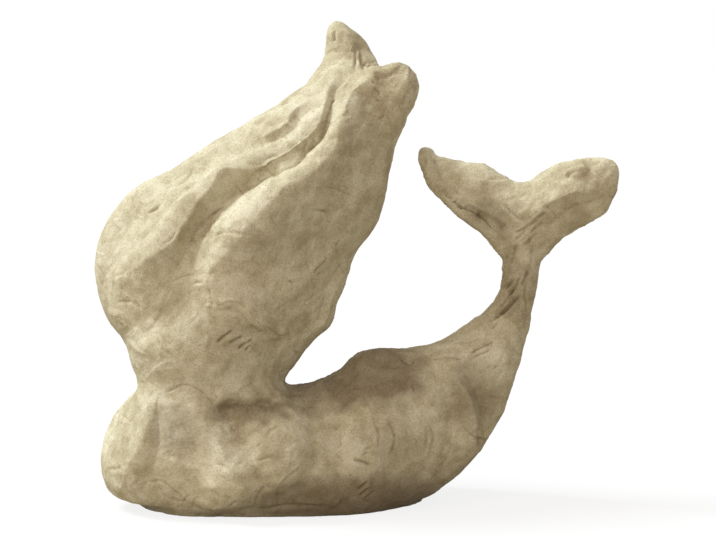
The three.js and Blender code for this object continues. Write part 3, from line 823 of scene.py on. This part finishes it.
# %% Crinkles
CRINKLES = 340  # on each side
CRINKLE_HALF = (1.5, 5)  # half of a crinkle's length, mm
CRINKLE_BEND = 1.2
CRINKLE_TIMES = (0.2, 0.7)  # a crinkle is this much as high as a drawn fold
CRINKLE_FADE = 2

random = np.random.default_rng(SEED)
for side in [NEAR, FAR]:
    for _ in range(CRINKLES):
        middle = base[random.integers(len(base))][[0, 2]]
        angle = random.uniform(0, math.tau)
        half = random.uniform(*CRINKLE_HALF) * np.array([math.cos(angle), math.sin(angle)])
        bend = random.uniform(-CRINKLE_BEND, CRINKLE_BEND) * np.array([-math.sin(angle), math.cos(angle)])
        section = [CREASE, WRINKLE, TEAR][random.integers(3)]
        line = [middle - half, middle + bend, middle + half]
        crease(PIECES, section, line, random.uniform(*CRINKLE_TIMES), side, CRINKLE_FADE)
tell("with crinkles:")

# %% [markdown]
# ## Torn patches, and painted shade and light
#
# The paper was pasted on as torn patches of about 14 mm, each a paper's thickness above or below the
# next. Each vertex looks up its nearest patch centre, with a ragged edge from noise, which is quicker
# than cutting real patches and needs no thin overlaps. Then shade is painted into the paper's colour
# where the figure shades itself, in low and sheltered places, and light is painted on the chest and the
# low hair. The material reads this later as an attribute.

# %% Torn patches
PATCH = 14
PATCH_STEP = 0.12
RAGGED = 2.2
RAGGED_LENGTH = 4

spread = (base.max(0) - base.min(0)).prod() / PATCH**3
centres = random.uniform(base.min(0), base.max(0), (int(spread), 3))
patches = kdtree.KDTree(len(centres))
for i, centre in enumerate(centres):
    patches.insert(centre, i)
patches.balance()
heights = random.uniform(-1, 1, len(centres))
ragged = np.array([noise.noise_vector(Vector(p) / RAGGED_LENGTH) for p in base]) * RAGGED
patch = heights[[patches.find(p)[1] for p in base + ragged]]
lift += patch * PATCH_STEP
put(skin, base + normals * lift[:, None])
print("patches:", len(centres))

# %% Painted shade and light on the paper
PATCH_SHARE = 0.25  # share by which the patches differ in how much painted shade and light they take
SHADE_AND_LIGHT_SPOTS = [  # middle and half size in the mid plane, mm, and how much painted shade, or below 0 painted light
    ((6, 39), (18, 9), 1.4),  # along the rim of the back
    ((-10, 33), (14, 5), 0.8),  # behind the folded arm
    ((0, 5), (34, 9), 1.1),  # along the foot
    ((33, 34), (11, 12), 0.7),  # bend of the tail
    ((46, 64), (8, 12), 0.5),  # the stem
    ((37, 83), (8, 7), 0.7),  # root of the fluke
    ((-30, 31.5), (13, 4.5), 1.0),  # under the chin
    ((12, 20), (16, 9), 0.3),  # side of the body
    ((-52, 27), (9, 8), 0.6),  # inside of the propped arm
    ((-45, 11), (12, 10), -0.8),  # painted light on the chest
    ((-62, 62), (16, 10), -0.4),  # back of the low hair
    ((-33, 66), (18, 11), -0.6),  # front of the low hair
]

# paint shade and light into the paper's colour by these spots
painted_shade_and_light = np.zeros(len(base))
for (x, z), (wide, high), share in SHADE_AND_LIGHT_SPOTS:
    away = np.hypot((base[:, 0] + ragged[:, 0] - x) / wide, (base[:, 2] + ragged[:, 2] - z) / high)
    painted_shade_and_light += share * np.clip(1 - away**2, 0, 1) * (1 + PATCH_SHARE * patch)
for name, values in [("patch_tone", patch), ("painted_shade_and_light", painted_shade_and_light)]:
    skin.data.attributes.new(name, "FLOAT", "POINT").data.foreach_set("value", values)
print("soaked points:", int((painted_shade_and_light > 0).sum()), "painted_light points:", int((painted_shade_and_light < 0).sum()))

# %% [markdown]
# ## Dents and crumpled facets
#
# Under the fingers the soft pulp dents, and dried paper crumples into small flat facets with sharp ridges
# between them. Cloud textures give the dents. A Voronoi texture of squared distances gives facets that
# meet in sharp lines. The thin rolled and pinched parts were handled most, so they are crumpled most. A
# Displace modifier moves the mesh itself, so that the facets also show in the outline. At the end the
# foot is pressed flat, as the blank was while it dried on a board.

# %% Dents, crumples and the flat foot
DENTS = [(9, 0.5), (2.6, 0.12)]  # size and depth, mm
CRUMPLES = [(7, 0.6), (3.2, -0.34), (1.5, 0.13)]
CRUMPLE_LEVEL = 0.2  # the mean of squared distances
HANDLED = ["upper_point", "front_point", "stem_paper", "fluke_paper"]
EASY_SHARE = 0.65  # the other pieces are crumpled by this share
FLAT_FOOT = 0.6  # all that lies lower than this is pressed flat on the table, mm

handled = belongs(corner_owner, HANDLED)
crumple = skin.vertex_groups.new(name="crumple")
crumple.add(np.flatnonzero(handled).tolist(), 1, "REPLACE")
crumple.add(np.flatnonzero(~handled).tolist(), EASY_SHARE, "REPLACE")
for size, depth in DENTS:
    dents = bpy.data.textures.new("dents", "CLOUDS")
    dents.noise_scale = size * MM
    shape_with(skin, "DISPLACE", texture=dents, strength=depth * MM)
for size, depth in CRUMPLES:
    facets = bpy.data.textures.new("facets", "VORONOI")
    facets.distance_metric = "DISTANCE_SQUARED"
    facets.noise_scale = size * MM
    settings = {"strength": depth * MM, "mid_level": CRUMPLE_LEVEL, "vertex_group": "crumple"}
    shape_with(skin, "DISPLACE", texture=facets, **settings)

rows = places(skin)
rows[rows[:, 2] < FLAT_FOOT, 2] = 0
put(skin, rows)
print("lowest and highest, mm:", rows[:, 2].min().round(2), rows[:, 2].max().round(2))

# %% [markdown]
# ## Where the folds are
#
# Shade is painted into the creases, so the paper's tone follows its folds. How far a short smoothing
# would move each vertex outwards tells hollows (above 0) from ridges (below 0). The material reads it as
# an attribute and paints shade in the hollows. A shader's own pointiness would do the same in one render
# engine only. The normals are kept as well, for turning the pieces' rims in later.

# %% Attributes for the material and the rims
FOLD_DEPTH = 0.25  # a hollow this deep, mm, over this reach takes the full painted shade
FOLD_REACH = 0.7

before = places(skin)
normals = outward(skin)
soften(FOLD_REACH, mesh_size=FINE)
hollow = np.clip(bulge(before, places(skin), normals) / FOLD_DEPTH, -1, 1)
put(skin, before)
# the material paints shade in the creases by this attribute
skin.data.attributes.new("hollow", "FLOAT", "POINT").data.foreach_set("value", hollow)
skin.data.attributes.new("inward", "FLOAT_VECTOR", "POINT").data.foreach_set("vector", -normals.ravel())
print("hollow points:", int((hollow > 0.5).sum()), "of", len(hollow))

# %% [markdown]
# ## Back into pieces
#
# The figure's parts were made one by one, so the creased skin comes apart again along its slots. Each
# piece is then closed: its open rim is turned in under the paper a little way, as a pasted edge is, and a
# cap shuts it. A cap right across the open rim would lie in the seam itself, so the rim goes in first. It
# is marked sharp so that the skin keeps its own shading up to the seam.

# %% Separate the pieces
with editing(skin, "SELECT"):
    bpy.ops.mesh.separate(type="MATERIAL")
pieces = {}
for piece in list(bpy.context.selected_objects):
    name = piece.data.materials[0].name.removesuffix("_slot")
    piece.name = name
    pieces[name] = piece
print("pieces:", len(pieces))

# %% Turn the rims in and close each piece
TURN_IN = 1.5

for name, piece in pieces.items():
    with editing(piece, "DESELECT"):
        bpy.ops.mesh.select_mode(type="EDGE")
        bpy.ops.mesh.select_non_manifold(
            use_wire=False, use_multi_face=False, use_non_contiguous=False, use_verts=False
        )
        bpy.ops.mesh.mark_sharp()
        bpy.ops.mesh.extrude_region_move()
    mesh = piece.data
    turned = np.empty(len(mesh.vertices), bool)
    mesh.vertices.foreach_get("select", turned)
    inward = np.empty(len(mesh.vertices) * 3)
    mesh.attributes["inward"].data.foreach_get("vector", inward)
    rows = places(piece)
    rows[turned] += TURN_IN * inward.reshape(-1, 3)[turned]
    put(piece, rows)
    with editing(piece):
        bpy.ops.mesh.fill_holes(sides=0)
    mesh.attributes.remove(mesh.attributes["inward"])
    print(name, len(mesh.polygons))

# %% [markdown]
# ## Kraft paper
#
# The outside is unbleached kraft paper, torn, wet with paste and dried. It is matte, its long fibres
# show as fine dark streaks, a net of fine creases runs through it with painted shade along its lines, and
# it is blotchy. Shade is also painted into the hollows of the folds and where the figure shades itself,
# and light on the chest and the low hair. A photographed texture could give that, but it would need
# unwrapping and show its seams. Noise in Object coordinates, at the real sizes, runs on from piece to
# piece.

# %% Material helpers
def linear(hex_colour):
    """An sRGB hex colour as a linear RGBA colour."""
    parts = [int(hex_colour[i : i + 2], 16) / 255 for i in (1, 3, 5)]
    return [p / 12.92 if p <= 0.04045 else ((p + 0.055) / 1.055) ** 2.4 for p in parts] + [1]


def add(tree, kind, inputs=None, **settings):
    """Add a node with its settings; an input is a value or a socket to link from."""
    node = tree.nodes.new(kind)
    for key, value in settings.items():
        setattr(node, key, value)
    for key, value in (inputs or {}).items():
        if isinstance(value, bpy.types.NodeSocket):
            tree.links.new(value, node.inputs[key])
        else:
            node.inputs[key].default_value = value
    return node


def per_mm(size):
    """The texture scale that gives a pattern of this size in millimetres."""
    return 1 / (size * MM)


# %% Patterns of kraft paper
PATTERNS = {"blotch": (12, 2), "cloud": (3.5, 3), "grain": (0.5, 3)}  # size in mm, and detail
TONE = {"blotch": 0.9, "cloud": 1, "grain": 0.7, "patch_tone": 0.08}  # share of each in the paper's tone
TONE_RANGE = (1.0, 1.6)  # from the deep tone to the pale one
FIBRE_WIDTH = 0.4  # single fibres are too fine to show, so these are bundles of them
FIBRE_LENGTH = 5
FIBRE_TURNS = [(0.3, 0.9, 0.2), (1.2, 0.2, 1.1), (2.1, 1.4, 2.4)]
NET_SIZE = 9  # net of fine creases
NET = {"Scale": per_mm(NET_SIZE), "Detail": 3, "Roughness": 0.5, "Offset": 0.9, "Gain": 1.5}


def paper_patterns(tree):
    """The patterns of pasted paper by name, as sockets."""
    place = add(tree, "ShaderNodeTexCoord").outputs["Object"]
    patterns = {}
    for name, (size, detail) in PATTERNS.items():
        spots = add(tree, "ShaderNodeTexNoise", {"Vector": place, "Scale": per_mm(size), "Detail": detail})
        patterns[name] = spots.outputs["Fac"]
    for name in ["patch_tone", "painted_shade_and_light", "hollow"]:
        patterns[name] = add(tree, "ShaderNodeAttribute", attribute_name=name).outputs["Fac"]
    stretch = (per_mm(FIBRE_WIDTH), per_mm(FIBRE_LENGTH), per_mm(FIBRE_WIDTH))
    for i, turn in enumerate(FIBRE_TURNS):
        lay = add(tree, "ShaderNodeMapping", {"Vector": place, "Rotation": turn, "Scale": stretch})
        fibre = add(tree, "ShaderNodeTexNoise", {"Vector": lay.outputs[0], "Scale": 1, "Detail": 1})
        patterns[f"fibre_{i}"] = fibre.outputs["Fac"]
    net = add(tree, "ShaderNodeTexNoise", {"Vector": place, **NET}, noise_type="RIDGED_MULTIFRACTAL")
    patterns["net"] = net.outputs["Fac"]
    return patterns


def summed(tree, patterns, shares):
    """The sum of patterns, each times its share."""
    value = 0
    for name, share in shares.items():
        inputs = {0: patterns[name], 1: share, 2: value}
        value = add(tree, "ShaderNodeMath", inputs, operation="MULTIPLY_ADD").outputs[0]
    return value


# %% Pasted and rolled kraft paper
FIBRES = [f"fibre_{i}" for i in range(len(FIBRE_TURNS))]
PALER_BY_PAINTED_LIGHT = (1.3, 1.3, 1.35, 1)  # painted light: paper is paler by this where the painted shade and light is below 0
LAYERS = [  # pattern, the values that it runs between, its greatest share, its colour and how it is mixed
    *[(fibre, 0.62, 0.7, 0.35, linear("#8f7f5e"), "MIX") for fibre in FIBRES],
    # painted shade along the lines of the net of fine creases, which are also bumped
    ("net", 1.25, 1.7, 0.45, linear("#8a7957"), "MIX"),
    # painted shade where the figure shades itself
    ("painted_shade_and_light", 0, 1, 1, linear("#b9b1ab"), "MULTIPLY"),
    # painted light on the chest and the low hair
    ("painted_shade_and_light", 0, -1, 1, PALER_BY_PAINTED_LIGHT, "MULTIPLY"),
    # painted shade in the hollows of the folds
    ("hollow", 0.1, 1, 0.5, linear("#6a573c"), "MIX"),
]
COLOUR_A, COLOUR_B, COLOUR_OUT = 6, 7, 2  # the colour sockets of a Mix node
RELIEF = {"grain": 1, "net": -0.8, **{fibre: 0.5 for fibre in FIBRES}}
RELIEF_HEIGHT = 0.15  # mm
RELIEF_STRENGTH = 0.6
MATTE = {"Roughness": 0.92, "Specular IOR Level": 0.25}


def kraft_paper(name, pale, mid, deep):
    """Unbleached paper with blotches, grain and fibres, painted shade in its creases and painted light."""
    material = bpy.data.materials.new(name)
    material.use_nodes = True
    tree = material.node_tree
    shader = tree.nodes["Principled BSDF"]
    patterns = paper_patterns(tree)
    tone = {"Value": summed(tree, patterns, TONE), "From Min": TONE_RANGE[0], "From Max": TONE_RANGE[1]}
    ramp = add(tree, "ShaderNodeValToRGB", {"Fac": add(tree, "ShaderNodeMapRange", tone).outputs[0]})
    ramp.color_ramp.elements[0].color = linear(deep)
    ramp.color_ramp.elements[1].color = linear(pale)
    ramp.color_ramp.elements.new(0.5).color = linear(mid)
    colour = ramp.outputs["Color"]
    for pattern, low, high, share, tint, kind in LAYERS:
        span = {"Value": patterns[pattern], "From Min": low, "From Max": high, "To Max": share}
        part = add(tree, "ShaderNodeMapRange", span).outputs[0]
        inputs = {"Factor": part, COLOUR_A: colour, COLOUR_B: tint}
        colour = add(tree, "ShaderNodeMix", inputs, data_type="RGBA", blend_type=kind).outputs[COLOUR_OUT]
    tree.links.new(colour, shader.inputs["Base Color"])
    for key, value in MATTE.items():
        shader.inputs[key].default_value = value
    relief = {
        "Height": summed(tree, patterns, RELIEF),
        "Strength": RELIEF_STRENGTH,
        "Distance": RELIEF_HEIGHT * MM,
    }
    bump = add(tree, "ShaderNodeBump", relief)
    tree.links.new(bump.outputs["Normal"], shader.inputs["Normal"])
    return material


pasted_kraft = kraft_paper("pasted_kraft_paper", "#dcd6bd", "#cbc3a6", "#b3a88a")
rolled_kraft = kraft_paper("rolled_kraft_paper", "#d8d1b6", "#c6bd9f", "#aca083")
print("kraft paper nodes:", len(pasted_kraft.node_tree.nodes), len(rolled_kraft.node_tree.nodes))

# %% [markdown]
# ## Board and wire
#
# The underside is bare grey board, pressed from waste paper, with specks of it. The rolled tube in the
# neck is the same board. The wire inside the tail is drawn steel, so it has fine lines along its length.
# Both are hidden, but a cut or an exploded view would show them, so they keep the solids' shapes and get
# a plain noise between two tones, stretched along the wire.

# %% Grey board and drawn wire
SPECK = 0.8  # sizes in mm
SPECK_DETAIL = 4
DRAW_LINE = 0.15
DRAW_LENGTH = 12


def plain(name, texture_scale, dark, light, **settings):
    """A material whose colour runs between two tones by a noise of the given scale along each axis."""
    material = bpy.data.materials.new(name)
    material.use_nodes = True
    tree = material.node_tree
    shader = tree.nodes["Principled BSDF"]
    place = add(tree, "ShaderNodeTexCoord").outputs["Object"]
    lay = add(tree, "ShaderNodeMapping", {"Vector": place, "Scale": texture_scale}).outputs[0]
    specks = add(tree, "ShaderNodeTexNoise", {"Vector": lay, "Scale": 1, "Detail": SPECK_DETAIL})
    ramp = add(tree, "ShaderNodeValToRGB", {"Fac": specks.outputs["Fac"]})
    ramp.color_ramp.elements[0].color = linear(dark)
    ramp.color_ramp.elements[1].color = linear(light)
    tree.links.new(ramp.outputs["Color"], shader.inputs["Base Color"])
    for key, value in settings.items():
        shader.inputs[key.replace("_", " ").title()].default_value = value
    return material


grey_board = plain("grey_board", [per_mm(SPECK)] * 3, "#6f675a", "#a89f8d", roughness=0.95)
draw_scale = [per_mm(DRAW_LINE), per_mm(DRAW_LINE), per_mm(DRAW_LENGTH)]
drawn_steel = plain("drawn_steel_wire", draw_scale, "#8b8d8f", "#c3c5c7", roughness=0.35, metallic=1)
for name, material in [("neck_tube", grey_board), ("tail_wire", drawn_steel)]:
    solids[name].data.materials.clear()
    solids[name].data.materials.append(material)
print("board and wire:", grey_board.name, drawn_steel.name)

# %% [markdown]
# ## Dress the pieces
#
# The hair points and the stem were rolled from a slightly darker sheet than the one that was pasted over
# the rest. Each piece gets its paper, rides on the figure's one body and takes the place of the solids
# that it covers. The foot's underside shows the board, so those faces get the board's slot by the way
# they look.

# %% Dress the pieces
UNDERSIDE = -0.9  # faces that look down this much are the bare board
ROLLED = ["upper_point", "front_point", "stem_paper"]
SLOTS = {name: "rolled_paper" if name in ROLLED else "kraft_pulp" for name in PIECES}
SLOTS["base_board"] = "grey_card"

for name, piece in pieces.items():
    piece.data.materials.clear()
    piece.data.materials.append(rolled_kraft if name in ROLLED else pasted_kraft)
    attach(piece, "root")
    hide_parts(*COVERS[name])
board = pieces["base_board"].data
board.materials.append(grey_board)
for face in board.polygons:
    face.material_index = 1 if face.normal.z < UNDERSIDE else 0
print("pieces:", sorted(pieces))

# %% [markdown]
# ## Light and stage
#
# A cool soft light stands high on the left and a little behind, so that it skims over the folds. A warm
# broad light fills from the eye's side, and a little comes from all round. Area lamps could do this too,
# but distant lights stay even over the whole figure. The table and the background are white for the
# camera only: what they throw back on to the figure stays low, so that the folds keep their shade. The
# table still takes the figure's shadow.

# %% Light
def shine(name, source, energy, colour, spread):
    """A distant light from a direction, softened over an angle in degrees."""
    bpy.ops.object.light_add(type="SUN")
    lamp = bpy.context.object
    lamp.name = name
    lamp.rotation_mode = "QUATERNION"
    lamp.rotation_quaternion = Vector(source).to_track_quat("Z", "Y")
    lamp.data.energy = energy
    lamp.data.color = colour
    lamp.data.angle = math.radians(spread)


shine("key", source=(-0.56, 0.05, 0.83), energy=2.95, colour=(0.87, 0.96, 1), spread=18)
shine("fill", source=(-0.45, -0.72, 0.53), energy=1.1, colour=(1, 0.9, 0.8), spread=80)

# %% Light from all round
ALL_ROUND = (1, 0.88, 0.8, 1)
ALL_ROUND_STRENGTH = 0.4
WHITE = (1, 1, 1, 1)


def seen_directly(tree):
    """1 for what the camera, a mirror or a glass shows, and 0 for light on its way to a matte surface."""
    path = add(tree, "ShaderNodeLightPath").outputs
    shown = path["Is Camera Ray"]
    for ray in ["Is Glossy Ray", "Is Transmission Ray"]:
        shown = add(tree, "ShaderNodeMath", {0: shown, 1: path[ray]}, operation="MAXIMUM").outputs[0]
    return shown


world = bpy.data.worlds.new("studio")
bpy.context.scene.world = world
world.use_nodes = True
tree = world.node_tree
fill = tree.nodes["Background"]
fill.inputs["Color"].default_value = ALL_ROUND
fill.inputs["Strength"].default_value = ALL_ROUND_STRENGTH
white = add(tree, "ShaderNodeBackground", {"Color": WHITE, "Strength": 1})
sides = {0: seen_directly(tree), 1: fill.outputs[0], 2: white.outputs[0]}
both = add(tree, "ShaderNodeMixShader", sides)
tree.links.new(both.outputs[0], tree.nodes["World Output"].inputs["Surface"])
print("world:", world.name, "strength", ALL_ROUND_STRENGTH)

# %% Table
TABLE_SIZE = 6  # m
TABLE_DROP = 0.1  # mm below the foot, so that the two don't share a face
SHADOW = 0.16  # how much of the figure's shadow the white table shows

bpy.ops.mesh.primitive_plane_add(size=TABLE_SIZE, location=(0, 0, -TABLE_DROP * MM))
table = bpy.context.object
table.name = "table"
paper_white = bpy.data.materials.new("white_table")
paper_white.use_nodes = True
tree = paper_white.node_tree
tree.nodes.remove(tree.nodes["Principled BSDF"])
glow = add(tree, "ShaderNodeEmission", {"Color": WHITE, "Strength": 1})
lit = add(tree, "ShaderNodeBsdfDiffuse", {"Color": linear("#f4f4f4")})
shown = add(tree, "ShaderNodeMixShader", {0: SHADOW, 1: glow.outputs[0], 2: lit.outputs[0]})
dim = add(tree, "ShaderNodeBsdfDiffuse", {"Color": linear("#a89e8e")})
sides = {0: seen_directly(tree), 1: dim.outputs[0], 2: shown.outputs[0]}
both = add(tree, "ShaderNodeMixShader", sides)
tree.links.new(both.outputs[0], tree.nodes["Material Output"].inputs["Surface"])
table.data.materials.append(paper_white)
table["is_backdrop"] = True
bpy.context.scene.view_settings.view_transform = "Standard"
print("table:", table.name)

# %% Sizes, and finish
low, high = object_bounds()
print("visual size in mm:", [round(side / MM, 1) for side in high - low])
